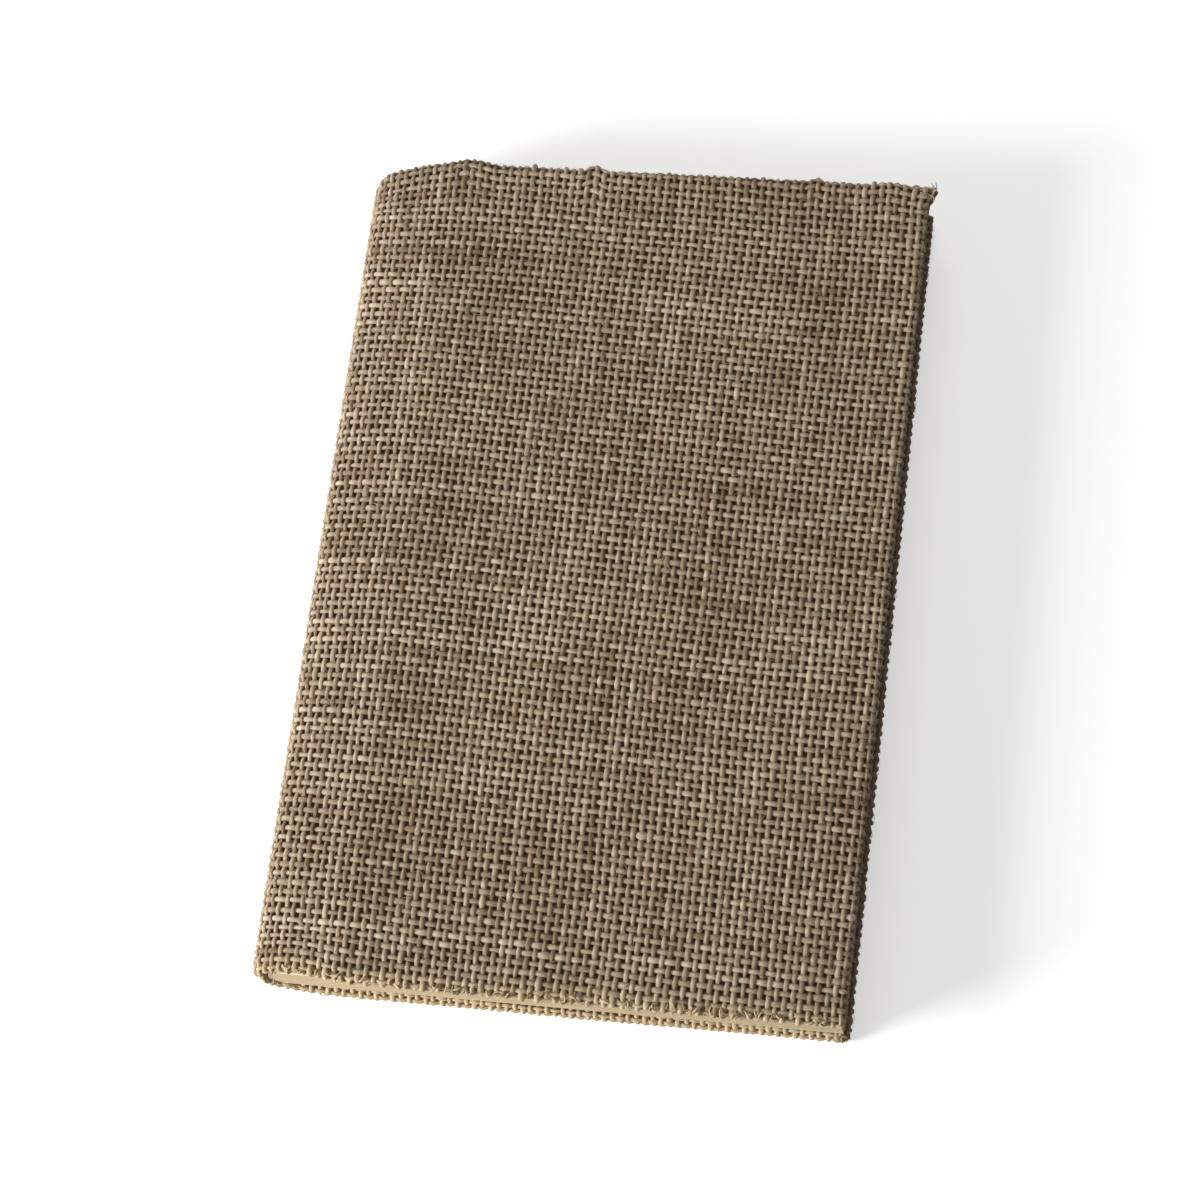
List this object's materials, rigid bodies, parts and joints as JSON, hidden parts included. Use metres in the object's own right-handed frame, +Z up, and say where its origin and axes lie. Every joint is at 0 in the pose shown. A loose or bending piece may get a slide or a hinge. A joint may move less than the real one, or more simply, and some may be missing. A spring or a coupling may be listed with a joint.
{
  "type": "hardcover notebook",
  "caption": "Hardcover notebook bound in coarse jute cloth, with a rounded soft spine, plain cream pages and covers that open flat.",
  "frame": {"origin": "middle of the closed notebook's footprint, on the surface that it lies on", "axes": "+X from the spine to the fore-edge, +Y from the tail to the head, +Z up through the front cover"},
  "size_m": [0.1458, 0.219, 0.0196],
  "materials": {
    "jute_cloth": "coarse plain weave, matte",
    "page_paper": "cream, uncoated",
    "end_paper": "cream, uncoated",
    "grey_card": "brown board, matte",
    "lining_gauze": "glued gauze, matte"
  },
  "bodies": {
    "text_block": {"page_block": "page_paper", "spine_lining": "lining_gauze", "spine_strip": "grey_card", "spine_cloth": "jute_cloth", "front_flyleaf": "end_paper", "back_flyleaf": "end_paper"},
    "front_cover": {"front_board": "grey_card", "front_cloth": "jute_cloth", "front_pastedown": "end_paper"},
    "back_cover": {"back_board": "grey_card", "back_cloth": "jute_cloth", "back_pastedown": "end_paper"}
  },
  "joints": [
    {"name": "front_joint", "type": "hinge", "parent": "text_block", "child": "front_cover", "pos_m": [-0.0683, 0, 0.01624], "axis": [0, -1, 0], "range_deg": [0, 180]},
    {"name": "back_joint", "type": "hinge", "parent": "text_block", "child": "back_cover", "pos_m": [-0.0683, 0, 0.00336], "axis": [0, 1, 0], "range_deg": [0, 180]}
  ]
}
